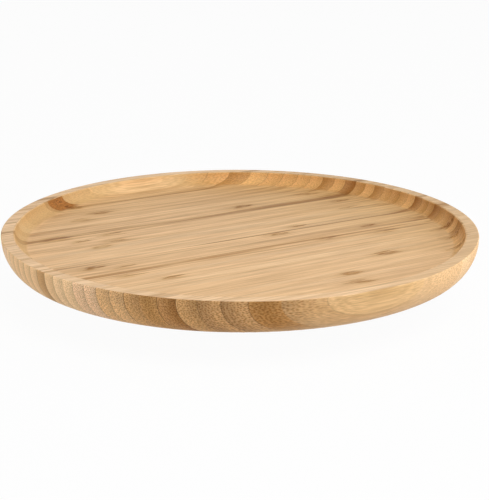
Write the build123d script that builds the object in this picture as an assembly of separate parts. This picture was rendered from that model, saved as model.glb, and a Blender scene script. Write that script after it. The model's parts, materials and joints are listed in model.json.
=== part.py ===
from build123d import *
import math
import os

# Lazy susan turntable: a turned bamboo tray on a pressed-steel ball bearing and a small footed base.
# Millimetres. The origin is on the table under the spin axis, +Z is up and the tray's grain runs along X.

# Tray, one panel of edge-glued strips
tray_diameter = 254.0
tray_thickness = 19.6
tray_rim_width = 7.1
tray_recess_depth = 7.15
tray_wall_draft = 8.0  # degrees that the recess wall leans outwards
tray_cove_radius = 7.0
tray_edge_height = 1.0  # upright band under the rim's outer edge
tray_belly_run = 15.6  # how far the belly curves in to the flat underside
tray_inner_round = 0.8
tray_outer_round = 0.5

# Bearing plates, pressed from one gauge of sheet
plate_side = 100.0
plate_corner_radius = 10.0
plate_screw_inset = 7.5  # screw centre to the plate's edges
plate_hole_clearance = 0.5
sheet_thickness = 1.0

# Ball race
race_diameter = 62.0
ball_diameter = 5.556
ball_count = 12
race_clearance = 0.15  # ball to the crown of each groove
race_conformity = 0.25  # groove radius over ball radius
groove_angle = 40.0  # degrees from level where the groove walls turn straight
shoulder_width = 1.6
race_land = 1.2  # flat between the outer shoulder and the flange
ledge_width = 3.2  # flat inside the inner shoulder
lip_gap = 0.25  # rolled lip over the upper plate's ledge
lip_headroom = 0.45  # rolled lip to the tray
lip_overlap = 1.6
neck_gap = 0.35

# Ball cage
cage_width = 8.4
cage_clearance = 0.4  # cage to the shoulders above and below
pocket_clearance = 0.15

# Screws
screw_shank_diameter = 3.5
screw_head_diameter = 6.6
screw_crown_diameter = 4.8  # flat top of the pan head
pilot_clearance = 0.05
head_gap = 1.6  # between upper and lower screw heads as they pass
tray_screw_cover = 3.4  # bamboo left over the point of a tray screw

# Base disc
base_margin = 7.5  # base beyond the plate's corners
base_thickness = 6.5
base_bevel = 1.2
base_edge_land = 0.5  # least upright band left between the bevels
base_screw_cover = 1.5  # bamboo left past the point of a base or foot screw
access_hole_diameter = 16.0

# Feet
foot_height = 4.0
foot_diameter = 15.0
foot_tip_diameter = 13.0
foot_inset = 16.0  # foot centre to the base's edge
foot_angle = 22.5
foot_screw_head_height = 1.6
foot_screw_recess = 0.6  # screw head above the table
foot_bore_clearance = 0.4

corner_count = 4
corner_angle = 360.0 / corner_count
lower_plate_angle = corner_angle / 2
upper_plate_angle = 0.0

# Heights of the stack
base_bottom = foot_height
base_top = base_bottom + base_thickness
ball_radius = ball_diameter / 2
race_radius = race_diameter / 2
crown_height = ball_radius + race_clearance  # groove crown and flange face from the balls' middle plane
plate_reach_z = crown_height + sheet_thickness
race_middle = base_top + plate_reach_z
tray_bottom = race_middle + plate_reach_z
tray_top = tray_bottom + tray_thickness
tray_floor = tray_top - tray_recess_depth

# Radii and widths that follow from the race
groove_corner = 4  # number of the groove's crown along the race line
groove_radius = ball_radius + race_conformity
groove_slope = math.tan(math.radians(groove_angle))
groove_apex = crown_height - groove_radius + groove_radius / math.cos(math.radians(groove_angle))
shoulder_height = crown_height - sheet_thickness - lip_gap - lip_headroom
shoulder_inner = (groove_apex - shoulder_height) / groove_slope
shoulder_outer = shoulder_inner + shoulder_width
slope_outer = shoulder_outer + (crown_height - shoulder_height) / groove_slope
race_outer_radius = race_radius + slope_outer + race_land
ledge_radius = race_radius - shoulder_inner - ledge_width
neck_radius = ledge_radius - neck_gap
lip_height = shoulder_height + sheet_thickness + lip_gap
lip_radius = ledge_radius + lip_overlap

# Places of the fasteners and feet
plate_reach = plate_side / math.sqrt(2) - plate_corner_radius * (math.sqrt(2) - 1)
screw_circle = (plate_side / 2 - plate_screw_inset) * math.sqrt(2)
base_radius = plate_reach + base_margin
foot_circle = base_radius - foot_inset
shank_radius = screw_shank_diameter / 2
plate_head_height = crown_height - head_gap / 2
tray_screw_bite = tray_floor - tray_bottom - tray_screw_cover
base_screw_bite = base_thickness - base_screw_cover
foot_web = foot_height - foot_screw_head_height - foot_screw_recess


def turn(*lines):
    """Solid of revolution about Z from lines that close an outline in radius and height."""
    edges = [edge for line in lines for edge in line.edges()]
    return revolve(Plane.XZ * make_face(edges), Axis.Z)


def on_circle(shape, radius, start_angle):
    """Copies of a shape at the four corners of a circle."""
    places = PolarLocations(radius, corner_count, start_angle)
    return [place * shape for place in places]


def make_tray():
    """Panel turned with a coved recess above and an elliptical belly below."""
    rim_outer = tray_diameter / 2
    rim_inner = rim_outer - tray_rim_width
    wall_lean = math.radians(tray_wall_draft)
    wall_foot = rim_inner - tray_recess_depth * math.tan(wall_lean)
    wall_length = tray_recess_depth / math.cos(wall_lean)
    corner_tangent = math.tan((math.pi / 2 - wall_lean) / 2)
    cove_limit = wall_length / corner_tangent - tray_inner_round
    cove = min(tray_cove_radius, cove_limit)
    belly_top = tray_top - tray_edge_height
    belly_foot = rim_outer - tray_belly_run

    upper = FilletPolyline(
        (0, tray_floor),
        (wall_foot, tray_floor),
        (rim_inner, tray_top),
        (rim_outer, tray_top),
        (rim_outer, belly_top),
        radius=[cove, tray_inner_round, min(tray_outer_round, tray_edge_height)],
    )
    belly = EllipticalCenterArc(
        (belly_foot, belly_top), tray_belly_run, belly_top - tray_bottom, start_angle=0, arc_size=-90
    )
    under = Polyline((belly_foot, tray_bottom), (0, tray_bottom), (0, tray_floor))
    panel = turn(upper, belly, under)
    pilot = Pos(0, 0, tray_bottom) * Rot(180, 0, 0) * make_pilot(tray_screw_bite)
    return panel - on_circle(pilot, screw_circle, upper_plate_angle)


def race_line(side):
    """Ball side of a pressed plate from its flange to its inner shoulder; side is +1 above the balls."""
    corners = [
        (race_outer_radius, crown_height),
        (race_radius + slope_outer, crown_height),
        (race_radius + shoulder_outer, shoulder_height),
        (race_radius + shoulder_inner, shoulder_height),
        (race_radius, groove_apex),
        (race_radius - shoulder_inner, shoulder_height),
    ]
    return [Vector(radius, race_middle + side * height) for radius, height in corners]


def back_of_sheet(corners, side):
    """Other side of a bent sheet, parallel to these corners and mitred at each bend."""
    normals = []
    for start, end in zip(corners, corners[1:]):
        along = (end - start).normalized()
        normals.append(Vector(along.Y, -along.X) * side)
    back = []
    for corner, before, after in zip(corners, normals[:1] + normals, normals + normals[-1:]):
        mitre = (before + after) * (sheet_thickness / (1 + before.dot(after)))
        back.append(corner + mitre)
    return back


def race_side(corners, radius):
    """One side of the sheet, with a round groove for the balls and crisp bends elsewhere."""
    bends = [radius if number == groove_corner else 0 for number in range(1, len(corners) - 1)]
    return FilletPolyline(*corners, radius=bends)


def make_plate(side, corners, turned):
    """Square plate: a race pressed from sheet, a flat flange around it and a hole in each corner."""
    ball_side = race_side(corners, groove_radius)
    back_side = race_side(back_of_sheet(corners, side), groove_radius + sheet_thickness)
    outer_end = Line(ball_side @ 0, back_side @ 0)
    inner_end = Line(ball_side @ 1, back_side @ 1)
    race = turn(ball_side, inner_end, back_side, outer_end)
    outline = RectangleRounded(plate_side, plate_side, plate_corner_radius) - Circle(race_outer_radius)
    hole = Circle(shank_radius + plate_hole_clearance)
    outline -= on_circle(hole, screw_circle, lower_plate_angle)
    flange_bottom = race_middle + min(side * crown_height, side * plate_reach_z)
    flange = Pos(0, 0, flange_bottom) * extrude(outline, sheet_thickness)
    return race + Rot(0, 0, turned) * flange


def make_upper_plate():
    """Upper plate, whose ledge ends at the hole that the lower plate's neck passes through."""
    ledge_end = Vector(ledge_radius, race_middle + shoulder_height)
    return make_plate(1, race_line(1) + [ledge_end], upper_plate_angle - lower_plate_angle)


def make_lower_plate():
    """Lower plate, with a neck through the upper plate and a lip rolled out over its ledge."""
    lip_line = [
        Vector(neck_radius, race_middle - shoulder_height),
        Vector(neck_radius, race_middle + lip_height),
        Vector(lip_radius, race_middle + lip_height),
    ]
    return make_plate(-1, race_line(-1) + lip_line, 0)


def make_cage():
    """Flat ring between the shoulders, with one round pocket for each ball."""
    thickness = 2 * (shoulder_height - cage_clearance)
    ring = Circle(race_radius + cage_width / 2) - Circle(race_radius - cage_width / 2)
    pocket = Circle(ball_radius + pocket_clearance)
    ring -= [place * pocket for place in PolarLocations(race_radius, ball_count)]
    return Pos(0, 0, race_middle - thickness / 2) * extrude(ring, thickness)


def make_balls():
    """Balls in the middle plane of the race, in order around it."""
    ball = Pos(0, 0, race_middle) * Sphere(ball_radius)
    return [Pos(place.position) * ball for place in PolarLocations(race_radius, ball_count)]


def make_pilot(bite):
    """Blind hole that a screw bites into, mouth at the origin and running down."""
    depth = bite + pilot_clearance
    return Pos(0, 0, -depth) * extrude(Circle(shank_radius + pilot_clearance), depth)


def make_screw(head_height, grip, bite):
    """Pan-head screw, head up, with its seat at the origin; grip is what it clamps."""
    head_radius = screw_head_diameter / 2
    length = grip + bite
    outline = Polyline(
        (0, head_height),
        (screw_crown_diameter / 2, head_height),
        (head_radius, 0),
        (shank_radius, 0),
        (shank_radius, -length),
        (0, -length),
        (0, head_height),
    )
    return turn(outline)


def make_tray_screws():
    """Screws from below, through the upper plate into the tray."""
    screw = Rot(180, 0, 0) * make_screw(plate_head_height, sheet_thickness, tray_screw_bite)
    seat = Pos(0, 0, race_middle + crown_height) * screw
    return on_circle(seat, screw_circle, upper_plate_angle)


def make_base_screws():
    """Screws from above, through the lower plate into the base."""
    screw = make_screw(plate_head_height, sheet_thickness, base_screw_bite)
    seat = Pos(0, 0, race_middle - crown_height) * screw
    return on_circle(seat, screw_circle, lower_plate_angle)


def make_foot_screws():
    """Screws from below, through the web of each foot into the base."""
    screw = Rot(180, 0, 0) * make_screw(foot_screw_head_height, foot_web, base_screw_bite)
    seat = Pos(0, 0, base_bottom - foot_web) * screw
    return on_circle(seat, foot_circle, foot_angle)


def make_base():
    """Round base with pilots for its screws and one hole to reach the tray screws in turn."""
    bevel = min(base_bevel, (base_thickness - base_edge_land) / 2)
    edge = Polyline(
        (0, base_bottom),
        (base_radius - bevel, base_bottom),
        (base_radius, base_bottom + bevel),
        (base_radius, base_top - bevel),
        (base_radius - bevel, base_top),
        (0, base_top),
        (0, base_bottom),
    )
    disc = turn(edge)
    pilot = make_pilot(base_screw_bite)
    disc -= on_circle(Pos(0, 0, base_top) * pilot, screw_circle, lower_plate_angle)
    disc -= on_circle(Pos(0, 0, base_bottom) * Rot(180, 0, 0) * pilot, foot_circle, foot_angle)
    access = extrude(Circle(access_hole_diameter / 2), base_thickness)
    return disc - Pos(screw_circle, 0, base_bottom) * access


def make_feet():
    """Tapered rubber feet, counterbored so that the screw heads stay off the table."""
    bore_radius = screw_head_diameter / 2 + foot_bore_clearance
    hole_radius = shank_radius + pilot_clearance
    wall = Polyline(
        (bore_radius, 0),
        (foot_tip_diameter / 2, 0),
        (foot_diameter / 2, foot_height),
        (hole_radius, foot_height),
        (hole_radius, foot_height - foot_web),
        (bore_radius, foot_height - foot_web),
        (bore_radius, 0),
    )
    return on_circle(turn(wall), foot_circle, foot_angle)


def export_node(name, solids):
    """Write one node's solids as one file."""
    export_step(Compound(children=solids), os.path.join("parts", name + ".step"))


os.makedirs("parts", exist_ok=True)
export_node("tray", [make_tray()])
export_node("bearing_upper_plate", [make_upper_plate()])
export_node("bearing_lower_plate", [make_lower_plate()])
export_node("ball_cage", [make_cage()])
for number, ball in enumerate(make_balls(), start=1):
    export_node(f"bearing_ball_{number:02d}", [ball])
export_node("tray_screws", make_tray_screws())
export_node("base_plate_screws", make_base_screws())
export_node("base_disc", [make_base()])
for number, foot in enumerate(make_feet(), start=1):
    export_node(f"rubber_foot_{number}", [foot])
export_node("foot_screws", make_foot_screws())
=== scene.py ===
import json
import math
import bmesh
import bpy
from mathutils import Matrix, Vector

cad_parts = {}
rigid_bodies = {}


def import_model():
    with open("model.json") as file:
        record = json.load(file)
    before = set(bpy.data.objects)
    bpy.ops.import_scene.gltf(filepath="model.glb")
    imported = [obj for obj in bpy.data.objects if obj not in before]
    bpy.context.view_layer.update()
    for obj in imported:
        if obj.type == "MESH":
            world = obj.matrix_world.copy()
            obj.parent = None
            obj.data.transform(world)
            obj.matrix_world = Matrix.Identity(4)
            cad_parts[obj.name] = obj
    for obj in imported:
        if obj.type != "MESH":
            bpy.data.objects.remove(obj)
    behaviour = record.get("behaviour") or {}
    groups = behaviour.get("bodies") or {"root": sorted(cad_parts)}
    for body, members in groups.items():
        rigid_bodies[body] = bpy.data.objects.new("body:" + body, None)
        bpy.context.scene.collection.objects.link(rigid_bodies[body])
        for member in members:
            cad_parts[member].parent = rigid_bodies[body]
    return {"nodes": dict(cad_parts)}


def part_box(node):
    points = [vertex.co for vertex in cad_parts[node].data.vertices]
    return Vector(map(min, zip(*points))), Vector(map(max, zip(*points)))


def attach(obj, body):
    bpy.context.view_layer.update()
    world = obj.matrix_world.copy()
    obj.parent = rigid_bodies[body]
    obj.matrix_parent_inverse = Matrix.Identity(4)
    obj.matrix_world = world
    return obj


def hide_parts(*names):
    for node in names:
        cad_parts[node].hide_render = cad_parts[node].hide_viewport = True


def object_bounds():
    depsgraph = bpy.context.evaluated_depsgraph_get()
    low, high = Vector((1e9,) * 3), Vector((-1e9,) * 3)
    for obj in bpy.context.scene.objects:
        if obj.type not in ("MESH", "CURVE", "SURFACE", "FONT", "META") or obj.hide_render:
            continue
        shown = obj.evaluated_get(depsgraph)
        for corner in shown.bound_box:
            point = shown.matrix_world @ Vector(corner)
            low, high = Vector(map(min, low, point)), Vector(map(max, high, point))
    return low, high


# Lazy susan turntable: looks for the bamboo tray, its ball bearing and its footed base.
# Metres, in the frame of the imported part: +Z up, grain along X, origin on the table under the spin axis.

for leftover in list(bpy.data.objects):
    bpy.data.objects.remove(leftover)
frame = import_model()
cad_low, cad_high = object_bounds()

MM = 0.001
PER_MM = 1 / MM
WHITE = (1.0, 1.0, 1.0)

# Camera of the photograph, aimed at the middle of the rim
VIEW_AZIMUTH = math.radians(-31.0)
VIEW_ELEVATION = math.radians(16.882)
VIEW_ROLL = math.radians(0.249)
VIEW_DISTANCE = 713.57 * MM
VIEW_SHIFT_RIGHT = -2.39 * MM
VIEW_SHIFT_UP = 13.78 * MM
LENS_MM = 95.4
SENSOR_MM = 36.0
CLIP_START = 10 * MM

# Softboxes in metres and watts: place to the right, level forward and up in the photograph's view,
# width and height, and power
SOFTBOXES = {
    "key_softbox": ((0.35, -0.75, 0.95), (0.7, 0.7), 10.8),
    "right_softbox": ((1.3, 0.1, 0.40), (0.9, 0.9), 7.0),
    "left_softbox": ((-1.3, 0.0, 0.40), (0.9, 0.9), 2.0),
    "left_strip": ((-0.85, -0.15, 0.03), (0.9, 0.05), 1.9),
    "right_strip": ((0.85, -0.05, 0.03), (0.9, 0.05), 0.7),
}
FILL_STRENGTH = 0.30
TABLE_SIDE_M = 8.0
TABLE_GLOW = 0.96
TABLE_COLOUR = (0.72, 0.72, 0.72)
TABLE_ROUGHNESS = 0.9

# Ranges of noise over which a look changes, from narrow and hard to wide and soft
NOISE_NARROW = (0.38, 0.62)
NOISE_CORE = (0.36, 0.64)
NOISE_MIDDLE = (0.35, 0.65)
NOISE_BROAD = (0.3, 0.7)
NOISE_WIDE = (0.2, 0.8)

# Bamboo strips
STRIP_PITCH_MM = 6.41
SEAM_OFFSET_MM = 1.33
HALF_STRIPS = 20
TURNED_STRIP = 4

# Strip colours, linear, and the letters that name them. A capital letter turns a strip over,
# so that its dense dark side lies towards +Y. The strips in EVEN_STRIPS are darkest in the middle.
STRIP_COLOURS = {
    "w": (0.900, 0.625, 0.350),
    "p": (0.800, 0.545, 0.300),
    "h": (0.755, 0.490, 0.250),
    "r": (0.755, 0.505, 0.300),
    "y": (0.740, 0.470, 0.212),
    "t": (0.680, 0.420, 0.198),
    "o": (0.575, 0.338, 0.145),
    "m": (0.515, 0.290, 0.113),
    "a": (0.450, 0.240, 0.085),
    "b": (0.350, 0.160, 0.043),
    "e": (0.500, 0.264, 0.085),
    "d": (0.430, 0.228, 0.072),
    "g": (0.455, 0.252, 0.102),
    "k": (0.445, 0.215, 0.060),
}
EVEN_STRIPS = "dekw"
# From the middle of the tray to its front edge, then from the middle to its back edge
TRAY_FACE_STRIPS = ("AhteTPHwphhphPhhphhy", "ppPpthTdhTphtttAthwh")
TRAY_END_STRIPS = ("hhhmhpprrttmebmGGkOy", "hhpramtbaoototoothhh")
TRAY_COVE_STRIPS = ("BmmBMoatAtthhhhhhhhh", "tOmoAtmbtAtttthMTtth")
BASE_STRIPS = ("hthtphtohthpthhtohth", "thphtohthtphhtothpht")

# How far the strips stray from an even pitch: millimetres at the middle and per millimetre across,
# on the outside of the tray and at the top of the recess wall's right-hand part
OUTSIDE_STRAY = (1.19, 0.0161)
COVE_STRAY = (2.62, 0.022)

# Zones of the tray: heights, and radii or places over which one look changes into the next
RECESS_DEPTH_MM = 7.15
RIM_TOP_MM = cad_high.z * PER_MM
FLOOR_MM = RIM_TOP_MM - RECESS_DEPTH_MM
BELLY_MM = 24.0
BELLY_FOOT_MM = 19.5
COVE_START_MM = 112.0
COVE_END_MM = 119.9
FLOOR_EDGE_MM = (FLOOR_MM - 0.5, FLOOR_MM - 0.2)
RIM_EDGE_MM = (RIM_TOP_MM - 0.4, RIM_TOP_MM - 0.1)
WALL_START_MM = (COVE_START_MM - 3.0, COVE_START_MM + 5.0)
WALL_STOP_MM = (COVE_END_MM + 0.3, COVE_END_MM + 0.6)
RIM_START_MM = (COVE_END_MM + 0.6, COVE_END_MM + 1.2)
BEND_MM = (101.0, 117.0)
RUN_OUT_MM = (88.0, COVE_START_MM)
RIGHT_PART_MM = (20.0, 50.0)
LEFT_PART_MM = (-40.0, -20.0)
FRONT_PART_MM = (-75.0, -45.0)
MARKED_FROM_MM = (-35.0, 5.0)

# Fibres: noise waves per millimetre along and across the grain, and the tones that they add
FIBRE_LEAN = 0.014
FIBRE_SHIFT_MM = 70.0
LEAN_SEED = 0.71
FINE_PER_MM = (0.040, 1.50, 1.50)
MEDIUM_PER_MM = (0.011, 0.46, 0.46)
BROAD_PER_MM = (0.008, 0.16, 0.16)
CALM_PER_MM = (0.012, 0.09, 0.09)
FINE_TONES = (-0.135, 0.095)
MEDIUM_TONES = (-0.085, 0.06)
BROAD_TONES = (0.94, 1.055)
CALM_TONES = (0.4, 1.4)
CALM_FRONT_MM = (-80.0, -20.0)
CALM_FRONT_TONES = (0.65, 1.15)
FIBRE_ROUGHNESS = 0.6

# Faces along the grain: how the dense side of a strip fades into the plain colour
PLAIN_COLOUR = (0.780, 0.510, 0.264)
BROAD_SWAY = 0.25
MEDIUM_SWAY = 0.30
DENSE_PART = (0.05, 0.60)
DEEP_GREEN_POWER = 1.25
DEEP_BLUE_POWER = 1.6

# Painted shade: the floor and the rim are darker and warmer towards the right-hand end, along a slant over
# the floor
FLOOR_TINT = (0.985, 0.955, 0.925)
# Painted shade: darker, warmer floor towards its right-hand end and its back
WARM_PAINTED_SHADE = (0.86, 0.80, 0.66)
RIM_TINT = (1.04, 1.06, 1.14)
# Painted shade: darker rim towards its right-hand end
RIM_PAINTED_SHADE = (0.88, 0.88, 0.88)
WARM_START_MM = 0.0
WARM_BACK_MM = 40.0
WARM_END_MM = 110.0
WARM_SLANT = 0.3
WARM_BACK_SHARE = 0.5

# Faces across the grain: fade from the dense side, dots of fibre bundles, and painted shade in the cove and
# at the front
# Painted shade on the recess wall, deeper and warmer on its dark-ended right-hand part
COVE_PAINTED_SHADE = (0.79, 0.77, 0.66)
DARK_COVE_PAINTED_SHADE = (1.0, 0.89, 0.66)
PALE_SIDE_COLOUR = (0.590, 0.352, 0.155)
PALE_SIDE_SHARE = 0.34
END_FADE = (0.0, 0.9)
END_TONES = (-0.14, 0.07)
# Painted light and shade on the front outside: lighter towards the belly, darker towards the rim
FRONT_PAINTED_SHADE = (1.10, 0.80)
RUN_OUT_SHARE = 0.7
PLAIN_WALL_SHARE = 0.45
RIM_END_SHARE = 0.25
BELLY_END_SHARE = 0.6
WALL_CRISPNESS = 0.6
BUNDLE_TINT = (0.60, 0.50, 0.38)
BUNDLES_PER_MM = 1.25
BUNDLE_SCATTER = 0.75
BUNDLE_EDGE = (0.15, 0.45)
SPECKLE = 0.36
FRONT_DOTS_MM = (-60.0, -25.0)
BACK_DOTS = 0.4
DOTS_FACING = (0.10, 0.45)
SIDE_DOTS = 0.5
WALL_DOTS = 0.45
PLAIN_DOTS = 0.6
# How far a face turns towards X before it shows the end grain: the least, and for all of it
END_FACING = (0.06, 0.34)
WALL_FACING = (0.02, 0.22)

# One strip's dark left-hand end: from and to across the grain
DARK_END_MM = (97.1, 104.6)
DARK_END_SOFT_MM = 0.3
DARK_END_COLOUR = (0.350, 0.140, 0.030)
DARK_END_TONES = (0.7, 1.3)

# Glue lines between strips, and those that hardly show: number of the line and how much is lost
SEAM_EDGE_MM = (0.05, 0.26)
SEAM_SEED = 0.37
FAINT_SEAMS = ((-12, 1.0), (-18, 1.0), (-19, 0.55))
FACE_SEAM_DEPTH = 0.12
PLAIN_END_SEAM = 0.12
END_SEAM = -0.36
END_SEAM_SPREAD = -0.30

# Marks where a culm's joint crosses a strip: place along and across the grain, and relative size
TRAY_MARKS_MM = (
    (-45, 83, 1.1), (-57, 74, 1.1), (32, 54, 1.1), (-88, 46, 1.5), (-58, 40, 0.8), (-78, 35, 0.7),
    (-60, 28, 1.0), (-72, 21, 1.0), (37, 3, 0.7), (21, -5, 1.1), (-94, -11, 0.9), (-77, -16, 0.8),
    (72, -16, 0.8), (40, -25, 0.8), (-80, -30, 1.0), (76, -30, 1.1), (-65, -43, 0.9), (50, -63, 1.2),
    (13, -82, 1.0), (12, -95, 1.0), (90, 36, 0.9), (88, 21, 0.7), (84, 60, 1.0), (95, 48, 1.4),
    (-54, 100, 0.9), (105, -42, 0.8), (99, -58, 0.9), (88, -75, 0.8),
)
BASE_MARKS_MM = (
    (-40, 31, 1.0), (22, -17, 0.8), (51, 8, 1.0), (-12, -47, 0.9), (-58, -8, 1.1), (34, 44, 0.8),
)
MARK_LENGTH_MM = 6.0
MARK_WIDTH_MM = 2.6
MARK_TINT = (0.46, 0.30, 0.0)
# The mark's outline wanders along and across the grain; its parts are shares of the outline's reach
MARK_WANDER_MM = (5.0, 1.4)
MARK_RING = (0.70, 1.15)
MARK_CORE = (0.10, 0.65)
MARK_HALO = (0.8, 2.4)
RING_STRENGTH = 0.90
CORE_STRENGTH = 0.45
HALO_STRENGTH = 0.18
RING_MEDIUM_TONES = (1.25, 0.6)
RING_FINE_TONES = (1.2, 0.7)

# Finish of the bamboo: roughness, gloss and relief of its fibres and glue lines
TRAY_ROUGHNESS = 0.46
BASE_ROUGHNESS = 0.55
WOOD_SMOOTHER = 0.05
WOOD_ROUGHER = 0.07
END_ROUGHER = 0.10
WOOD_SPECULAR = 0.18
SEAM_RELIEF = 0.35
WOOD_RELIEF_MM = 0.05
WOOD_RELIEF_STRENGTH = 0.35

# Galvanised sheet, with its crystals in waves and specks
ZINC_DARK = (0.50, 0.52, 0.54)
ZINC_PALE = (0.72, 0.74, 0.76)
ZINC_ROUGHNESS = (0.28, 0.42)
ZINC_SPECK_ROUGHNESS = 0.10
SPANGLE_PER_MM = 0.24
SPANGLE_WAVES_PER_MM = 0.3
SPANGLE_SWAY_MM = (1.5, -1.2, 0.8)
ZINC_SPECKS_PER_MM = 2.2
ZINC_RELIEF_MM = 0.02
ZINC_RELIEF_STRENGTH = 0.3

# Steel balls and zinc-plated screws, with rubbed patches and scratches
BALL_DARK = (0.56, 0.57, 0.58)
BALL_PALE = (0.70, 0.70, 0.71)
BALL_ROUGHNESS = 0.08
SCREW_DARK = (0.58, 0.59, 0.60)
SCREW_PALE = (0.74, 0.74, 0.72)
SCREW_ROUGHNESS = 0.24
RUBS_PER_MM = (1.1, 1.1, 1.1)
SCRATCHES_PER_MM = (0.6, 6.0, 6.0)
RUB_ROUGHNESS = 0.10
SCRATCH_ROUGHNESS = 0.05
STEEL_RELIEF_MM = 0.01
STEEL_RELIEF_STRENGTH = 0.2

# Nylon cage and rubber feet, with the grain of their moulds
NYLON_DARK = (0.74, 0.72, 0.64)
NYLON_PALE = (0.80, 0.78, 0.71)
NYLON_ROUGHNESS = 0.45
NYLON_GRAIN_MM = 0.35
RUBBER_DARK = (0.020, 0.020, 0.021)
RUBBER_PALE = (0.034, 0.033, 0.032)
RUBBER_ROUGHNESS = 0.70
RUBBER_GRAIN_MM = 0.28
CLOUDS_PER_MM = (0.15, 0.15, 0.15)
MOULD_SMOOTHER = 0.06
MOULD_ROUGHER = 0.08
MOULD_RELIEF_MM = 0.04
MOULD_RELIEF_STRENGTH = 0.5

# Pan-head screws: seat height, head height and length under the head, on circles about the spin axis
HEAD_RADIUS_MM = 3.3
HEAD_EDGE_MM = 0.7
CROWN_RADIUS_MM = 2.1
SHANK_RADIUS_MM = 1.75
CORE_RADIUS_MM = 1.25
NECK_MM = 1.0
THREAD_PITCH_MM = 1.25
POINT_TURNS = 1.5
PLATE_SCREW_CIRCLE_MM = 60.104
PLATE_HEAD_MM = 2.128
TRAY_SCREW_SEAT_MM = 17.356
TRAY_SCREW_LENGTH_MM = 10.05
TRAY_SCREW_ANGLE = 0.0
BASE_SCREW_SEAT_MM = 11.5
BASE_SCREW_LENGTH_MM = 6.0
BASE_SCREW_ANGLE = 45.0
FOOT_SCREW_CIRCLE_MM = 58.069
FOOT_SCREW_SEAT_MM = 2.2
FOOT_HEAD_MM = 1.6
FOOT_SCREW_LENGTH_MM = 6.8
FOOT_SCREW_ANGLE = 22.5
SCREWS_IN_CIRCLE = 4
SCREW_SIDES = 36
RINGS_PER_TURN = 6
# Points that round a head's profile: how far down and out from the crown's rim and from the edge, and how
# far down or up and along the slope on the shoulder between them
CROWN_ROUND_MM = ((0.0, -0.9), (0.0, -0.4), (0.10, 0.0))
SHOULDER_TOP_MM = (0.35, 0.33)
SHOULDER_FOOT_MM = (0.25, 0.27)
EDGE_ROUND_MM = ((0.10, -0.04), (0.30, 0.0))
SEAT_ROUND_MM = 0.12
# Each screw of a circle stopped at a turn of its own, in degrees
FIRST_STOP = 17
NEXT_STOP = 53
# Cross recess: height over the crown, reach of an arm and half its width, at its mouth and its bottom
RECESS_MOUTH_MM = (0.4, 1.85, 0.42)
RECESS_BOTTOM_MM = (-1.05, 0.85, 0.26)

# Rubber feet, turned about their own axis
FOOT_HEIGHT_MM = 4.0
FOOT_TOP_RADIUS_MM = 7.5
FOOT_TIP_RADIUS_MM = 6.5
FOOT_ROUND_MM = 0.7
FOOT_ROUND_STEPS = 5
# Drop and inset of the points that round the top edge
FOOT_TOP_ROUND_MM = ((0.0, 0.4), (0.12, 0.12), (0.4, 0.1))
FOOT_BORE_RADIUS_MM = 3.7
FOOT_BORE_BEVEL_MM = 0.3
FOOT_HOLE_RADIUS_MM = 1.8
FOOT_GROOVES_MM = (4.55, 5.35)
FOOT_GROOVE_WIDTH_MM = 0.36
FOOT_SIDES = 64

CREASE_ANGLE = math.radians(38)


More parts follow.
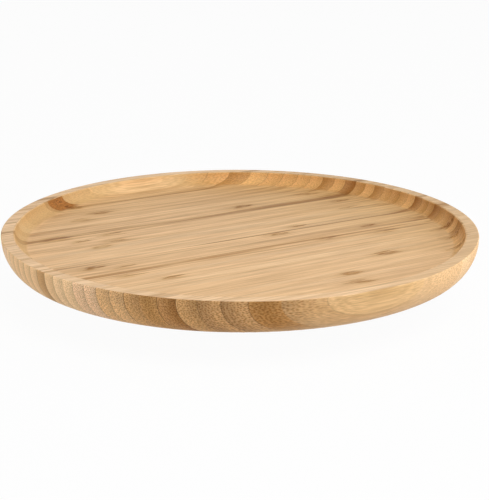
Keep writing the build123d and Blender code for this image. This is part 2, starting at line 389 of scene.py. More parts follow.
class Graph:
    """A material's node tree, with short calls for the nodes that these materials use."""

    def __init__(self, name):
        self.material = bpy.data.materials.new(name)
        self.material.use_nodes = True
        self.tree = self.material.node_tree
        self.shader = self.tree.nodes["Principled BSDF"]

    def add(self, kind, **settings):
        node = self.tree.nodes.new(kind)
        for key, value in settings.items():
            setattr(node, key, value)
        return node

    def feed(self, socket, value):
        if isinstance(value, bpy.types.NodeSocket):
            self.tree.links.new(value, socket)
        elif socket.type == "RGBA":
            socket.default_value = (*value, 1.0)
        else:
            socket.default_value = value

    def surface(self, name, value):
        self.feed(self.shader.inputs[name], value)

    def math(self, operation, *values, clamp=False):
        node = self.add("ShaderNodeMath", operation=operation, use_clamp=clamp)
        for socket, value in zip(node.inputs, values):
            self.feed(socket, value)
        return node.outputs[0]

    def times(self, product, *factors):
        """Product of numbers."""
        for factor in factors:
            product = self.math("MULTIPLY", product, factor)
        return product

    def invert(self, mask):
        return self.math("SUBTRACT", 1.0, mask)

    def vector(self, operation, *values):
        node = self.add("ShaderNodeVectorMath", operation=operation)
        for socket, value in zip(node.inputs, values):
            self.feed(socket, value)
        return node.outputs["Value" if operation == "LENGTH" else "Vector"]

    def step(self, value, low, high, start=0.0, end=1.0):
        """Smooth change from start to end as value goes from low to high."""
        node = self.add("ShaderNodeMapRange", interpolation_type="SMOOTHSTEP")
        for socket, number in zip(node.inputs, (value, low, high, start, end)):
            self.feed(socket, number)
        return node.outputs[0]

    def blend(self, mask, start, end):
        """Smooth change from start to end as a mask goes from 0 to 1."""
        return self.step(mask, 0.0, 1.0, start, end)

    def mix(self, factor, first, second, blend="MIX"):
        node = self.add("ShaderNodeMix", data_type="RGBA", blend_type=blend)
        self.feed(node.inputs["Factor"], factor)
        colours = [socket for socket in node.inputs if socket.type == "RGBA"]
        self.feed(colours[0], first)
        self.feed(colours[1], second)
        return next(socket for socket in node.outputs if socket.type == "RGBA")

    def shade(self, colour, amount):
        """Colour times a number."""
        return self.vector("MULTIPLY", colour, self.join(amount, amount, amount))

    def deepen(self, colour, amount):
        """Colour times a number, redder where the number is lower."""
        green = self.math("POWER", amount, DEEP_GREEN_POWER)
        blue = self.math("POWER", amount, DEEP_BLUE_POWER)
        return self.vector("MULTIPLY", colour, self.join(amount, green, blue))

    def join(self, x, y, z):
        node = self.add("ShaderNodeCombineXYZ")
        for socket, value in zip(node.inputs, (x, y, z)):
            self.feed(socket, value)
        return node.outputs[0]

    def split(self, vector):
        node = self.add("ShaderNodeSeparateXYZ")
        self.feed(node.inputs[0], vector)
        return node.outputs

    def noise(self, place, scale, detail=2.0, roughness=0.5):
        node = self.add("ShaderNodeTexNoise", noise_dimensions="3D")
        self.feed(node.inputs["Vector"], self.vector("MULTIPLY", place, scale))
        self.feed(node.inputs["Scale"], 1.0)
        self.feed(node.inputs["Detail"], detail)
        self.feed(node.inputs["Roughness"], roughness)
        return node.outputs[0]

    def cells(self, place, per_mm):
        """A random colour for each cell of a foam of them."""
        node = self.add("ShaderNodeTexVoronoi", voronoi_dimensions="3D")
        self.feed(node.inputs["Vector"], place)
        self.feed(node.inputs["Scale"], per_mm)
        return node.outputs["Color"]

    def dots(self, x, y, per_mm, scatter):
        """Distance to the nearest of the points scattered over a plane, as a share of their spacing."""
        node = self.add("ShaderNodeTexVoronoi", voronoi_dimensions="2D")
        self.feed(node.inputs["Vector"], self.join(x, y, 0.0))
        self.feed(node.inputs["Scale"], per_mm)
        self.feed(node.inputs["Randomness"], scatter)
        return node.outputs["Distance"]

    def hash(self, number):
        """A fixed random number for each whole number."""
        node = self.add("ShaderNodeTexWhiteNoise", noise_dimensions="1D")
        self.feed(node.inputs["W"], number)
        return node.outputs["Value"]

    def millimetres(self):
        """Place on the part, which turns with its body, and the direction that its surface faces."""
        coordinates = self.add("ShaderNodeTexCoord")
        scale = (PER_MM, PER_MM, PER_MM)
        return self.vector("MULTIPLY", coordinates.outputs["Object"], scale), coordinates.outputs["Normal"]

    def bump(self, height, depth_mm, strength):
        node = self.add("ShaderNodeBump")
        self.feed(node.inputs["Height"], height)
        self.feed(node.inputs["Distance"], depth_mm * MM)
        self.feed(node.inputs["Strength"], strength)
        self.surface("Normal", node.outputs[0])


class Panel(Graph):
    """A bamboo panel's node tree, with the places, zones, strips and fibres that its layers share."""

    def __init__(self, name):
        super().__init__(name)
        self.place, normal = self.millimetres()
        self.x, self.y, self.z = self.split(self.place)
        self.radius = self.vector("LENGTH", self.join(self.x, self.y, 0.0))
        self.facing = self.math("ABSOLUTE", self.split(normal)[0])
        self.wall, self.right, self.outside, self.on_top = tray_zones(self)
        self.strip = strip_count(self)
        self.index = self.math("FLOOR", self.strip)
        self.fine, self.medium, self.broad, self.calm, self.bundle = fibres(self)
        self.seam, self.seam_strength = glue_lines(self)
        self.marked = marked_ends(self)


def tray_zones(panel):
    """Masks of the recess wall, of the recess's right-hand part, of all outside it and of the rim's top."""
    above_floor = panel.step(panel.z, *FLOOR_EDGE_MM)
    on_top = panel.step(panel.z, *RIM_EDGE_MM)
    starts = panel.step(panel.radius, *WALL_START_MM)
    stops = panel.step(panel.radius, *WALL_STOP_MM, 1.0, 0.0)
    wall = panel.times(starts, stops, above_floor, panel.invert(on_top))
    rim = panel.step(panel.radius, *RIM_START_MM)
    outside = panel.math("MAXIMUM", rim, panel.invert(above_floor))
    right = panel.times(panel.step(panel.x, *RIGHT_PART_MM), panel.invert(outside))
    return wall, right, outside, on_top


def stray(panel, amount, where):
    """How far the strips stray sideways in one zone."""
    middle, slope = amount
    return panel.times(panel.math("MULTIPLY_ADD", panel.y, slope, middle), where)


def strip_count(panel):
    """Number of strips from the panel's middle to this place; at a glue line it is a whole number."""
    bent = panel.times(panel.right, panel.step(panel.radius, *BEND_MM))
    straight = panel.math("SUBTRACT", panel.y, stray(panel, OUTSIDE_STRAY, panel.outside))
    straight = panel.math("SUBTRACT", straight, stray(panel, COVE_STRAY, bent))
    return panel.math("DIVIDE", panel.math("ADD", straight, SEAM_OFFSET_MM), STRIP_PITCH_MM)


def fibres(panel):
    """Fine, medium and broad tones along the grain, where they are calm, and the end grain's bundles.

    The fibres of each strip lean a little to one side of its length.
    """
    shift = panel.times(panel.hash(panel.index), FIBRE_SHIFT_MM)
    side = panel.hash(panel.math("ADD", panel.index, LEAN_SEED))
    drift = panel.times(panel.x, panel.blend(side, -FIBRE_LEAN, FIBRE_LEAN))
    own = panel.vector("ADD", panel.place, panel.join(shift, drift, shift))
    fine = panel.noise(own, FINE_PER_MM, detail=3.0, roughness=FIBRE_ROUGHNESS)
    medium = panel.noise(own, MEDIUM_PER_MM, roughness=FIBRE_ROUGHNESS)
    broad = panel.noise(panel.place, BROAD_PER_MM)
    calm = panel.step(panel.noise(own, CALM_PER_MM, detail=1.0), *NOISE_MIDDLE, *CALM_TONES)
    calm = panel.times(calm, panel.step(panel.y, *CALM_FRONT_MM, *CALM_FRONT_TONES))
    _, sideways, upwards = panel.split(own)
    dots = panel.dots(sideways, upwards, BUNDLES_PER_MM, BUNDLE_SCATTER)
    bundle = panel.step(dots, *BUNDLE_EDGE, 1.0, 0.0)
    return fine, medium, broad, calm, bundle


def glue_lines(panel):
    """1 on the glue line between two strips, and a strength of its own for each line."""
    edge = panel.times(panel.math("PINGPONG", panel.strip, 0.5), STRIP_PITCH_MM)
    number = panel.math("ROUND", panel.strip)
    seam = panel.step(edge, *SEAM_EDGE_MM, 1.0, 0.0)
    for faint, loss in FAINT_SEAMS:
        lost = panel.times(panel.math("COMPARE", number, faint, 0.5), loss)
        seam = panel.math("SUBTRACT", seam, lost, clamp=True)
    return seam, panel.hash(panel.math("ADD", number, SEAM_SEED))


def marked_ends(panel):
    """1 where a strip's end shows its dark grain, 0 where the end is plain.

    The front strips show it at their left-hand ends, the back strips at their right-hand ends and the
    few between them at both. On the recess wall it shows in the right-hand part alone.
    """
    back = panel.math("SIGN", panel.math("ADD", panel.index, 0.5))
    far_back = panel.math("SIGN", panel.math("SUBTRACT", panel.index, TURNED_STRIP - 0.5))
    end = panel.math("MAXIMUM", panel.times(panel.x, back), panel.times(panel.x, far_back))
    return panel.mix(panel.wall, panel.step(end, *MARKED_FROM_MM), panel.right)


def strip_ramp(panel, place, letters):
    """Colour ramp with one step for each strip; its alpha tells which side of the strip is dense."""
    node = panel.add("ShaderNodeValToRGB")
    ramp = node.color_ramp
    ramp.interpolation = "CONSTANT"
    for number, letter in enumerate(letters):
        stop = ramp.elements[0] if number == 0 else ramp.elements.new(number / len(letters))
        side = 0.5 if letter in EVEN_STRIPS else float(letter.islower())
        stop.color = (*STRIP_COLOURS[letter.lower()], side)
    ramp.elements.remove(ramp.elements[-1])
    panel.feed(node.inputs[0], place)
    return node.outputs


def strip_colour(panel, front, back):
    """Colour of the strip at this place, and how far the place is from its dense side, 0 to 1."""
    ahead = panel.math("DIVIDE", panel.math("SUBTRACT", -0.5, panel.index), HALF_STRIPS)
    behind = panel.math("DIVIDE", panel.math("ADD", panel.index, 0.5), HALF_STRIPS)
    at_back = panel.math("GREATER_THAN", panel.index, -0.5)
    front_colour, front_side = strip_ramp(panel, ahead, front)
    back_colour, back_side = strip_ramp(panel, behind, back)
    colour = panel.mix(at_back, front_colour, back_colour)
    side = panel.mix(at_back, front_side, back_side)
    apart = panel.math("SUBTRACT", side, panel.invert(panel.math("FRACT", panel.strip)))
    return colour, panel.math("ABSOLUTE", apart)


def layer_colours(panel, face_strips, end_strips, wall_strips):
    """Colour and distance from the dense side, for faces along the grain and for faces across it."""
    face, face_dense = strip_colour(panel, *face_strips)
    end, end_dense = strip_colour(panel, *end_strips)
    wall, wall_dense = strip_colour(panel, *wall_strips)
    on_wall = panel.times(panel.wall, panel.right)
    end = panel.mix(on_wall, end, wall)
    end_dense = panel.mix(on_wall, end_dense, wall_dense)

    # The tones of the right-hand wall run out along the strips over the floor
    run_out = panel.times(panel.right, panel.step(panel.radius, *RUN_OUT_MM, 0.0, RUN_OUT_SHARE))
    face = panel.mix(run_out, face, wall)
    face_dense = panel.mix(run_out, face_dense, wall_dense)

    # The rim takes a little of the dark ends' colour, and a plain end takes that of the faces
    on_rim = panel.times(panel.marked, panel.outside, RIM_END_SHARE)
    rim = panel.mix(on_rim, face, end)
    plain = panel.mix(panel.times(panel.wall, PLAIN_WALL_SHARE), face, PLAIN_COLOUR)
    return (rim, face_dense), (panel.mix(panel.marked, plain, end), end_dense)


def face_grain(panel, colour, dense):
    """A face along the grain: fine lines, and strips that change gently into each other."""
    patch = panel.step(panel.broad, *NOISE_BROAD, -BROAD_SWAY, BROAD_SWAY)
    uneven = panel.math("ADD", patch, panel.step(panel.medium, *NOISE_BROAD, -MEDIUM_SWAY, MEDIUM_SWAY))
    share = panel.step(panel.math("ADD", dense, uneven), *DENSE_PART, 1.0, 0.0)
    colour = panel.mix(share, PLAIN_COLOUR, colour)
    lines = panel.step(panel.broad, *NOISE_CORE, *BROAD_TONES)
    streaks = panel.times(panel.step(panel.medium, *NOISE_CORE, *MEDIUM_TONES), panel.calm)
    lines = panel.math("ADD", lines, streaks)
    lines = panel.math("ADD", lines, panel.step(panel.fine, *NOISE_CORE, *FINE_TONES))
    seam_depth = panel.times(panel.seam, panel.seam_strength, FACE_SEAM_DEPTH)
    return panel.deepen(colour, panel.times(lines, panel.invert(seam_depth)))


def face_tint(panel):
    """Tint of the faces along the grain: painted shade, darker and warmer to the right, and paler on the
    rim's top.
    """
    slanted = panel.math("MULTIPLY_ADD", panel.y, WARM_SLANT, panel.x)
    warm = panel.step(slanted, WARM_START_MM, WARM_END_MM)
    warm_back = panel.step(panel.y, WARM_BACK_MM, WARM_END_MM, 0.0, WARM_BACK_SHARE)
    floor = panel.mix(panel.math("MAXIMUM", warm, warm_back), FLOOR_TINT, WARM_PAINTED_SHADE)
    slanted = panel.math("MULTIPLY_ADD", panel.y, -WARM_SLANT, panel.x)
    warm = panel.step(slanted, WARM_START_MM, WARM_END_MM)
    rim = panel.mix(warm, panel.mix(panel.on_top, WHITE, RIM_TINT), RIM_PAINTED_SHADE)
    return panel.mix(panel.outside, floor, rim)


def end_painted_shade(panel, colour):
    """Painted shade: a darker recess wall, deeper at its dark ends; the front outside darker towards the
    rim.
    """
    tint = panel.mix(panel.marked, COVE_PAINTED_SHADE, DARK_COVE_PAINTED_SHADE)
    colour = panel.mix(panel.wall, colour, panel.vector("MULTIPLY", colour, tint))
    # Painted shade at the front: darker towards the rim, lighter towards the belly
    shadow = panel.step(panel.z, BELLY_MM, RIM_TOP_MM, *FRONT_PAINTED_SHADE)
    in_front = panel.step(panel.y, *FRONT_PART_MM, 1.0, 0.0)
    darkened = panel.times(panel.marked, panel.outside, in_front)
    return panel.mix(darkened, colour, panel.shade(colour, shadow))


def end_dots(panel):
    """How clearly the fibre bundles show on a face across the grain."""
    outside = panel.step(panel.y, *FRONT_DOTS_MM, 1.0, BACK_DOTS)
    outside = panel.times(outside, panel.step(panel.facing, *DOTS_FACING, SIDE_DOTS, 1.0))
    dotted = panel.blend(panel.outside, WALL_DOTS, outside)
    return panel.times(dotted, panel.blend(panel.marked, PLAIN_DOTS, 1.0))


def end_grain(panel, colour, dense):
    """A face across the grain: each strip fades from its dense side, with dots of fibre bundles."""
    dotted = end_dots(panel)
    crisp = panel.blend(panel.wall, 1.0, WALL_CRISPNESS)
    pale_side = panel.times(panel.step(dense, *END_FADE, 0.0, PALE_SIDE_SHARE), panel.marked)
    colour = panel.mix(pale_side, end_painted_shade(panel, colour), PALE_SIDE_COLOUR, "LIGHTEN")
    fade = panel.step(dense, *END_FADE, *END_TONES)
    fade = panel.math("MULTIPLY_ADD", fade, panel.times(panel.marked, crisp), 1.0)
    dots = panel.times(panel.bundle, dotted)
    colour = panel.mix(dots, colour, panel.vector("MULTIPLY", colour, BUNDLE_TINT))
    speckle = panel.step(panel.fine, *NOISE_CORE, 0.0, SPECKLE)
    speckle = panel.math("MULTIPLY_ADD", speckle, dotted, 1.0)
    line = panel.math("MULTIPLY_ADD", panel.seam_strength, END_SEAM_SPREAD, END_SEAM)
    line = panel.math("MULTIPLY_ADD", line, panel.marked, PLAIN_END_SEAM)
    line = panel.math("MULTIPLY_ADD", line, panel.times(panel.seam, crisp), 1.0)
    return panel.shade(colour, panel.times(fade, speckle, line))


def dark_end(panel, wood):
    """One strip is much darker where the recess wall cuts its left-hand end."""
    start, stop = DARK_END_MM
    starts = panel.step(panel.y, start - DARK_END_SOFT_MM, start)
    stops = panel.step(panel.y, stop, stop + DARK_END_SOFT_MM, 1.0, 0.0)
    at_left = panel.step(panel.x, *LEFT_PART_MM, 1.0, 0.0)
    where = panel.times(starts, stops, panel.wall, at_left)
    tone = panel.step(panel.fine, *NOISE_MIDDLE, *DARK_END_TONES)
    return panel.mix(where, wood, panel.shade(DARK_END_COLOUR, tone))


def across_grain(panel):
    """1 on faces across the grain and 0 on faces along it."""
    least = panel.blend(panel.wall, END_FACING[0], WALL_FACING[0])
    whole = panel.blend(panel.wall, END_FACING[1], WALL_FACING[1])
    sides = panel.math("SUBTRACT", panel.outside, panel.on_top)
    belly = panel.times(panel.step(panel.z, BELLY_FOOT_MM, BELLY_MM), sides, BELLY_END_SHARE)
    return panel.math("MAXIMUM", panel.step(panel.facing, least, whole), belly)


def nearest_mark(panel, x, y, marks):
    """Distance to the nearest culm joint: 0 at its middle and 1 at its oval outline."""
    place = panel.join(x, y, 0.0)
    nearest = None
    for mark_x, mark_y, size in marks:
        reach = (1 / (MARK_LENGTH_MM * size), 1 / (MARK_WIDTH_MM * size), 0.0)
        apart = panel.vector("MULTIPLY", panel.vector("SUBTRACT", place, (mark_x, mark_y, 0.0)), reach)
        distance = panel.vector("LENGTH", apart)
        nearest = distance if nearest is None else panel.math("MINIMUM", nearest, distance)
    return nearest


def culm_joints(panel, wood, marks):
    """Joints of the culm: a ring of darker fibre round a paler core, in a faint halo."""
    along, sideways = MARK_WANDER_MM
    x = panel.math("ADD", panel.x, panel.step(panel.medium, *NOISE_BROAD, -along, along))
    y = panel.math("ADD", panel.y, panel.step(panel.fine, *NOISE_BROAD, -sideways, sideways))
    reach = nearest_mark(panel, x, y, marks)
    outer = panel.step(reach, *MARK_RING, RING_STRENGTH, 0.0)
    core = panel.step(reach, *MARK_CORE, CORE_STRENGTH, 0.0)
    halo = panel.step(reach, *MARK_HALO, HALO_STRENGTH, 0.0)
    ring_tone = panel.times(
        panel.math("SUBTRACT", outer, core, clamp=True),
        panel.step(panel.medium, *NOISE_NARROW, *RING_MEDIUM_TONES),
        panel.step(panel.fine, *NOISE_NARROW, *RING_FINE_TONES),
    )
    strength = panel.math("MAXIMUM", ring_tone, halo)
    return panel.mix(strength, wood, panel.vector("MULTIPLY", wood, MARK_TINT))


def bamboo(name, face_strips, end_strips, wall_strips, marks, roughness):
    """Edge-glued bamboo strips: lines on faces along the grain, dots on faces across it."""
    panel = Panel(name)
    face_layer, end_layer = layer_colours(panel, face_strips, end_strips, wall_strips)
    face = panel.vector("MULTIPLY", face_grain(panel, *face_layer), face_tint(panel))
    end = dark_end(panel, end_grain(panel, *end_layer))
    across = across_grain(panel)
    panel.surface("Base Color", culm_joints(panel, panel.mix(across, face, end), marks))

    rough = panel.step(panel.fine, *NOISE_WIDE, roughness - WOOD_SMOOTHER, roughness + WOOD_ROUGHER)
    panel.surface("Roughness", panel.math("MULTIPLY_ADD", across, END_ROUGHER, rough))
    panel.surface("Specular IOR Level", WOOD_SPECULAR)
    sunk = panel.times(panel.math("ADD", panel.seam, panel.bundle), SEAM_RELIEF)
    panel.bump(panel.math("SUBTRACT", panel.fine, sunk), WOOD_RELIEF_MM, WOOD_RELIEF_STRENGTH)
    return panel.material


def galvanised_sheet():
    """Zinc-coated steel with its crystal spangle."""
    graph = Graph("galvanised_sheet")
    place, _ = graph.millimetres()
    wave = graph.noise(place, (SPANGLE_WAVES_PER_MM,) * 3)
    bent = graph.vector("ADD", place, graph.shade(SPANGLE_SWAY_MM, wave))
    spangle = graph.split(graph.cells(bent, SPANGLE_PER_MM))[0]
    speck = graph.noise(place, (ZINC_SPECKS_PER_MM,) * 3, detail=3.0)
    graph.surface("Base Color", graph.mix(spangle, ZINC_DARK, ZINC_PALE))
    graph.surface("Metallic", 1.0)
    rough = graph.blend(spangle, *ZINC_ROUGHNESS)
    graph.surface("Roughness", graph.math("MULTIPLY_ADD", speck, ZINC_SPECK_ROUGHNESS, rough))
    graph.bump(graph.math("ADD", spangle, speck), ZINC_RELIEF_MM, ZINC_RELIEF_STRENGTH)
    return graph.material


def bright_steel(name, dark, pale, roughness):
    """Plated or polished steel with faint rubbed patches."""
    graph = Graph(name)
    place, _ = graph.millimetres()
    rub = graph.noise(place, RUBS_PER_MM, detail=4.0, roughness=0.65)
    scratch = graph.noise(place, SCRATCHES_PER_MM)
    graph.surface("Base Color", graph.mix(graph.step(rub, *NOISE_BROAD), dark, pale))
    graph.surface("Metallic", 1.0)
    worn = graph.step(rub, *NOISE_BROAD, roughness, roughness + RUB_ROUGHNESS)
    graph.surface("Roughness", graph.math("MULTIPLY_ADD", scratch, SCRATCH_ROUGHNESS, worn))
    graph.bump(scratch, STEEL_RELIEF_MM, STEEL_RELIEF_STRENGTH)
    return graph.material


def moulded(name, dark, pale, roughness, grain_mm):
    """Moulded nylon or rubber with a fine spark-eroded grain."""
    graph = Graph(name)
    place, _ = graph.millimetres()
    grain = graph.noise(place, (1 / grain_mm,) * 3, detail=3.0, roughness=0.6)
    cloud = graph.noise(place, CLOUDS_PER_MM)
    graph.surface("Base Color", graph.mix(graph.step(cloud, *NOISE_BROAD), dark, pale))
    rough = graph.step(grain, *NOISE_WIDE, roughness - MOULD_SMOOTHER, roughness + MOULD_ROUGHER)
    graph.surface("Roughness", rough)
    graph.bump(grain, MOULD_RELIEF_MM, MOULD_RELIEF_STRENGTH)
    return graph.material


def dress(node, material):
    """Give a CAD node its finish."""
    mesh = frame["nodes"][node].data
    mesh.materials.clear()
    mesh.materials.append(material)


def turn(shape, rings, closed=False):
    """Faces between rings of vertices; a ring of one vertex is a pole."""
    following = rings[1:] + rings[:1] if closed else rings[1:]
    for lower, upper in zip(rings, following):
        sides = max(len(lower), len(upper))
        for number in range(sides):
            after = number + 1
            corners = (
                lower[number % len(lower)],
                lower[after % len(lower)],
                upper[after % len(upper)],
                upper[number % len(upper)],
            )
            shape.faces.new(dict.fromkeys(corners))


def ring(shape, height, radius, sides):
    """Ring of vertices, in millimetres; the radius is a number or a function of the turn, 0 to 1."""
    points = []
    for number in range(sides):
        angle = 2 * math.pi * number / sides
        reach = radius(number / sides) if callable(radius) else radius
        points.append(shape.verts.new((reach * math.cos(angle), reach * math.sin(angle), height)))
    return points


def finish_mesh(shape, name):
    """Smooth mesh with sharp creases, from a shape in millimetres."""
    bmesh.ops.recalc_face_normals(shape, faces=shape.faces)
    bmesh.ops.scale(shape, vec=(MM, MM, MM), verts=shape.verts)
    mesh = bpy.data.meshes.new(name)
    shape.to_mesh(mesh)
    shape.free()
    mesh.shade_smooth()
    mesh.set_sharp_from_angle(angle=CREASE_ANGLE)
    return mesh


def head_profile(head):
    """Heights and radii of a pan head and its neck, from the flat of the crown down."""
    slope = (HEAD_RADIUS_MM - CROWN_RADIUS_MM) / (head - HEAD_EDGE_MM)
    profile = [(head - down, CROWN_RADIUS_MM + out) for down, out in CROWN_ROUND_MM]
    down, along = SHOULDER_TOP_MM
    profile.append((head - down, CROWN_RADIUS_MM + along * slope))
    up, along = SHOULDER_FOOT_MM
    profile.append((HEAD_EDGE_MM + up, HEAD_RADIUS_MM - along * slope))
    profile += [(HEAD_EDGE_MM - down, HEAD_RADIUS_MM + out) for down, out in EDGE_ROUND_MM]
    profile += [(SEAT_ROUND_MM, HEAD_RADIUS_MM), (0.0, HEAD_RADIUS_MM - SEAT_ROUND_MM)]
    profile += [(0.0, SHANK_RADIUS_MM), (-NECK_MM, SHANK_RADIUS_MM)]
    return profile


def thread_radius(height, length):
    """Radius of the thread at one height under the seat, as a function of the turn, 0 to 1."""
    share = min(1.0, (length + height) / (POINT_TURNS * THREAD_PITCH_MM))

    def radius(turned):
        crest = 1 - abs(2 * ((height / THREAD_PITCH_MM - turned) % 1.0) - 1)
        return share * (CORE_RADIUS_MM + (SHANK_RADIUS_MM - CORE_RADIUS_MM) * crest ** 2)

    return radius


def screw_body(head, length):
    """Pan head, neck and threaded shank with a point, seat at the origin and head up."""
    shape = bmesh.new()
    rings = [[shape.verts.new((0, 0, head))]]
    for height, radius in head_profile(head):
        rings.append(ring(shape, height, radius, SCREW_SIDES))
    step = THREAD_PITCH_MM / RINGS_PER_TURN
    for number in range(1, int((length - NECK_MM) / step)):
        height = -NECK_MM - number * step
        rings.append(ring(shape, height, thread_radius(height, length), SCREW_SIDES))
    rings.append([shape.verts.new((0, 0, -length))])
    turn(shape, rings)
    return finish_mesh(shape, "screw_body")


def cross_recess(head):
    """Tapered cross that is cut from a screw head."""
    shape = bmesh.new()
    layers = []
    for lift, reach, half in (RECESS_MOUTH_MM, RECESS_BOTTOM_MM):
        arm = ((reach, -half), (reach, half), (half, half))
        outline = []
        for quarter in range(4):
            spin = Matrix.Rotation(quarter * math.pi / 2, 2)
            outline += [shape.verts.new((*(spin @ Vector(corner)), head + lift)) for corner in arm]
        layers.append(outline)
    turn(shape, layers)
    for outline in layers:
        shape.faces.new(outline)
    return finish_mesh(shape, "cross_recess")


def pan_head_screw(head, length):
    """Screw mesh with its driving recess cut out."""
    body = bpy.data.objects.new("screw_body", screw_body(head, length))
    cutter = bpy.data.objects.new("cross_recess", cross_recess(head))
    for piece in (body, cutter):
        bpy.context.scene.collection.objects.link(piece)
    cut = body.modifiers.new("recess", "BOOLEAN")
    cut.object = cutter
    cut.solver = "EXACT"
    result = body.evaluated_get(bpy.context.evaluated_depsgraph_get())
    mesh = bpy.data.meshes.new_from_object(result)
    for piece in (body, cutter):
        bpy.data.objects.remove(piece)
    return mesh


def show(mesh, node, body, material):
    """Show a detailed mesh in place of a CAD node."""
    mesh.materials.clear()
    mesh.materials.append(material)
    piece = bpy.data.objects.new(mesh.name, mesh)
    bpy.context.scene.collection.objects.link(piece)
    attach(piece, body)
    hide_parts(node)


def place_screws(node, body, material, mesh, circle_mm, first_angle, seat_mm, head_up):
    """Four screws on a circle, in place of a CAD node."""
    group = bmesh.new()
    flip = Matrix.Identity(4) if head_up else Matrix.Rotation(math.pi, 4, "X")
    for number in range(SCREWS_IN_CIRCLE):
        angle = math.radians(first_angle + 360 * number / SCREWS_IN_CIRCLE)
        spin = Matrix.Rotation(math.radians(FIRST_STOP + NEXT_STOP * number), 4, "Z")
        seat = Vector((circle_mm * math.cos(angle), circle_mm * math.sin(angle), seat_mm)) * MM
        screw = mesh.copy()
        screw.transform(Matrix.Translation(seat) @ flip @ spin)
        group.from_mesh(screw)
        bpy.data.meshes.remove(screw)
    detailed = bpy.data.meshes.new(node + "_detailed")
    group.to_mesh(detailed)
    group.free()
    show(detailed, node, body, material)


def foot_profile():
    """Heights and radii of a foot: its top, its side, its rounded tip with grooves, and its bore."""
    slope = (FOOT_TOP_RADIUS_MM - FOOT_TIP_RADIUS_MM) / FOOT_HEIGHT_MM
    profile = [(FOOT_HEIGHT_MM, FOOT_HOLE_RADIUS_MM)]
    for drop, inset in FOOT_TOP_ROUND_MM:
        profile.append((FOOT_HEIGHT_MM - drop, FOOT_TOP_RADIUS_MM - inset))
    profile.append((FOOT_ROUND_MM, FOOT_TIP_RADIUS_MM + slope * FOOT_ROUND_MM))
    for number in range(1, FOOT_ROUND_STEPS + 1):
        angle = math.radians(90 * number / FOOT_ROUND_STEPS)
        height = FOOT_ROUND_MM * (1 - math.sin(angle))
        profile.append((height, FOOT_TIP_RADIUS_MM - FOOT_ROUND_MM * (1 - math.cos(angle))))
    half = FOOT_GROOVE_WIDTH_MM / 2
    for groove in reversed(FOOT_GROOVES_MM):
        profile += [(0.0, groove + half), (half, groove + half / 2)]
        profile += [(half, groove - half / 2), (0.0, groove - half)]
    profile += [(0.0, FOOT_BORE_RADIUS_MM + FOOT_BORE_BEVEL_MM), (FOOT_BORE_BEVEL_MM, FOOT_BORE_RADIUS_MM)]
    profile += [(FOOT_SCREW_SEAT_MM, FOOT_BORE_RADIUS_MM), (FOOT_SCREW_SEAT_MM, FOOT_HOLE_RADIUS_MM)]
    return profile


def rubber_foot(node, material):
    """Moulded foot with rounded edges and grip grooves round its bore."""
    low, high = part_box(node)
    middle = (low + high) / 2
    shape = bmesh.new()
    rings = [ring(shape, height, radius, FOOT_SIDES) for height, radius in foot_profile()]
    turn(shape, rings, closed=True)
    mesh = finish_mesh(shape, node + "_detailed")
    mesh.transform(Matrix.Translation((middle.x, middle.y, low.z)))
    show(mesh, node, "base", material)


def view_axes():
    """Right, level forward, forward and up directions of the photograph's camera."""
    right = Vector((math.cos(VIEW_AZIMUTH), math.sin(VIEW_AZIMUTH), 0.0))
    level = Vector((-math.sin(VIEW_AZIMUTH), math.cos(VIEW_AZIMUTH), 0.0))
    lift = Vector((0.0, 0.0, 1.0))
    forward = level * math.cos(VIEW_ELEVATION) - lift * math.sin(VIEW_ELEVATION)
    up = level * math.sin(VIEW_ELEVATION) + lift * math.cos(VIEW_ELEVATION)
    return right, level, forward, up


def add_camera():
    """Camera at the photograph's viewing angle."""
    right, _, forward, up = view_axes()
    data = bpy.data.cameras.new("photo_camera")
    data.lens = LENS_MM
    data.sensor_width = SENSOR_MM
    data.clip_start = CLIP_START
    camera = bpy.data.objects.new("photo_camera", data)
    bpy.context.scene.collection.objects.link(camera)
    aim = Vector((0.0, 0.0, cad_high.z))
    axes = Matrix((right, up, -forward)).transposed().to_4x4()
    place = aim - forward * VIEW_DISTANCE - right * VIEW_SHIFT_RIGHT - up * VIEW_SHIFT_UP
    camera.matrix_world = Matrix.Translation(place) @ axes @ Matrix.Rotation(VIEW_ROLL, 4, "Z")
    bpy.context.scene.camera = camera


def add_softbox(name, place_m, size_m, watts):
    """Area light aimed at the tray."""
    right, level, _, _ = view_axes()
    data = bpy.data.lights.new(name, "AREA")
    data.shape = "RECTANGLE"
    data.size, data.size_y = size_m
    data.energy = watts
    lamp = bpy.data.objects.new(name, data)
    bpy.context.scene.collection.objects.link(lamp)
    lamp.location = right * place_m[0] + level * place_m[1] + Vector((0.0, 0.0, place_m[2]))
    aim = Vector((0.0, 0.0, cad_high.z)) - lamp.location
    lamp.rotation_mode = "QUATERNION"
    lamp.rotation_quaternion = aim.to_track_quat("-Z", "Y")


def seen_directly(tree):
    """1 for rays that show the background: from the camera, off metal or through glass."""
    path = tree.nodes.new("ShaderNodeLightPath")
    total = path.outputs["Is Camera Ray"]
    for name in ("Is Glossy Ray", "Is Transmission Ray"):
        most = tree.nodes.new("ShaderNodeMath")
        most.operation = "MAXIMUM"
        tree.links.new(total, most.inputs[0])
        tree.links.new(path.outputs[name], most.inputs[1])
        total = most.outputs[0]
    return total


def add_world():
    """White to look at, and a softer even fill for lighting."""
    world = bpy.data.worlds.new("studio")
    bpy.context.scene.world = world
    world.use_nodes = True
    tree = world.node_tree
    background = tree.nodes["Background"]
    background.inputs["Color"].default_value = (*WHITE, 1.0)
    strength = tree.nodes.new("ShaderNodeMapRange")
    tree.links.new(seen_directly(tree), strength.inputs["Value"])
    strength.inputs["To Min"].default_value = FILL_STRENGTH
    strength.inputs["To Max"].default_value = 1.0
    tree.links.new(strength.outputs[0], background.inputs["Strength"])


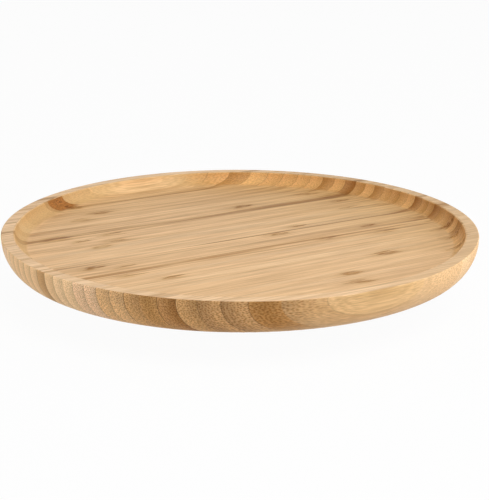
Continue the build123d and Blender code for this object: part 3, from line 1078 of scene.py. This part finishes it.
def add_floor():
    """White table, part glow where it is looked at, so that it stays white and keeps a soft shadow."""
    mesh = bpy.data.meshes.new("floor")
    half = TABLE_SIDE_M / 2
    corners = [(-half, -half, 0.0), (half, -half, 0.0), (half, half, 0.0), (-half, half, 0.0)]
    mesh.from_pydata(corners, [], [(0, 1, 2, 3)])
    floor = bpy.data.objects.new("floor", mesh)
    bpy.context.scene.collection.objects.link(floor)
    graph = Graph("floor_white")
    tree = graph.tree
    graph.surface("Base Color", TABLE_COLOUR)
    graph.surface("Roughness", TABLE_ROUGHNESS)
    graph.surface("Specular IOR Level", 0.0)
    white = graph.add("ShaderNodeEmission")
    blend = graph.add("ShaderNodeMixShader")
    graph.feed(blend.inputs[0], graph.times(seen_directly(tree), TABLE_GLOW))
    tree.links.new(graph.shader.outputs[0], blend.inputs[1])
    tree.links.new(white.outputs[0], blend.inputs[2])
    tree.links.new(blend.outputs[0], tree.nodes["Material Output"].inputs["Surface"])
    mesh.materials.append(graph.material)


def add_screws():
    """The three sets of screws, each on its circle."""
    zinc = bright_steel("zinc_screw", SCREW_DARK, SCREW_PALE, SCREW_ROUGHNESS)
    tray_places = (PLATE_SCREW_CIRCLE_MM, TRAY_SCREW_ANGLE, TRAY_SCREW_SEAT_MM, False)
    base_places = (PLATE_SCREW_CIRCLE_MM, BASE_SCREW_ANGLE, BASE_SCREW_SEAT_MM, True)
    foot_places = (FOOT_SCREW_CIRCLE_MM, FOOT_SCREW_ANGLE, FOOT_SCREW_SEAT_MM, False)
    tray_screw = pan_head_screw(PLATE_HEAD_MM, TRAY_SCREW_LENGTH_MM)
    base_screw = pan_head_screw(PLATE_HEAD_MM, BASE_SCREW_LENGTH_MM)
    foot_screw = pan_head_screw(FOOT_HEAD_MM, FOOT_SCREW_LENGTH_MM)
    place_screws("tray_screws", "turntable", zinc, tray_screw, *tray_places)
    place_screws("base_plate_screws", "base", zinc, base_screw, *base_places)
    place_screws("foot_screws", "base", zinc, foot_screw, *foot_places)


def dress_frame():
    """A finish or a detailed mesh for each CAD node, by the start of its name."""
    tray_strips = (TRAY_FACE_STRIPS, TRAY_END_STRIPS, TRAY_COVE_STRIPS)
    base_strips = (BASE_STRIPS, BASE_STRIPS, BASE_STRIPS)
    finishes = {
        "tray": bamboo("tray_bamboo", *tray_strips, TRAY_MARKS_MM, TRAY_ROUGHNESS),
        "base_disc": bamboo("base_bamboo", *base_strips, BASE_MARKS_MM, BASE_ROUGHNESS),
        "bearing_": galvanised_sheet(),
        "bearing_ball": bright_steel("ball_steel", BALL_DARK, BALL_PALE, BALL_ROUGHNESS),
        "ball_cage": moulded("cage_nylon", NYLON_DARK, NYLON_PALE, NYLON_ROUGHNESS, NYLON_GRAIN_MM),
    }
    rubber = moulded("foot_rubber", RUBBER_DARK, RUBBER_PALE, RUBBER_ROUGHNESS, RUBBER_GRAIN_MM)
    add_screws()
    for node in frame["nodes"]:
        starts = [start for start in finishes if node.startswith(start)]
        if node.startswith("rubber_foot"):
            rubber_foot(node, rubber)
        elif not node.endswith("_screws"):
            dress(node, finishes[max(starts, key=len)])


dress_frame()
add_camera()
add_world()
for lamp_name, lamp_values in SOFTBOXES.items():
    add_softbox(lamp_name, *lamp_values)
add_floor()
bpy.context.scene.view_settings.view_transform = "Standard"
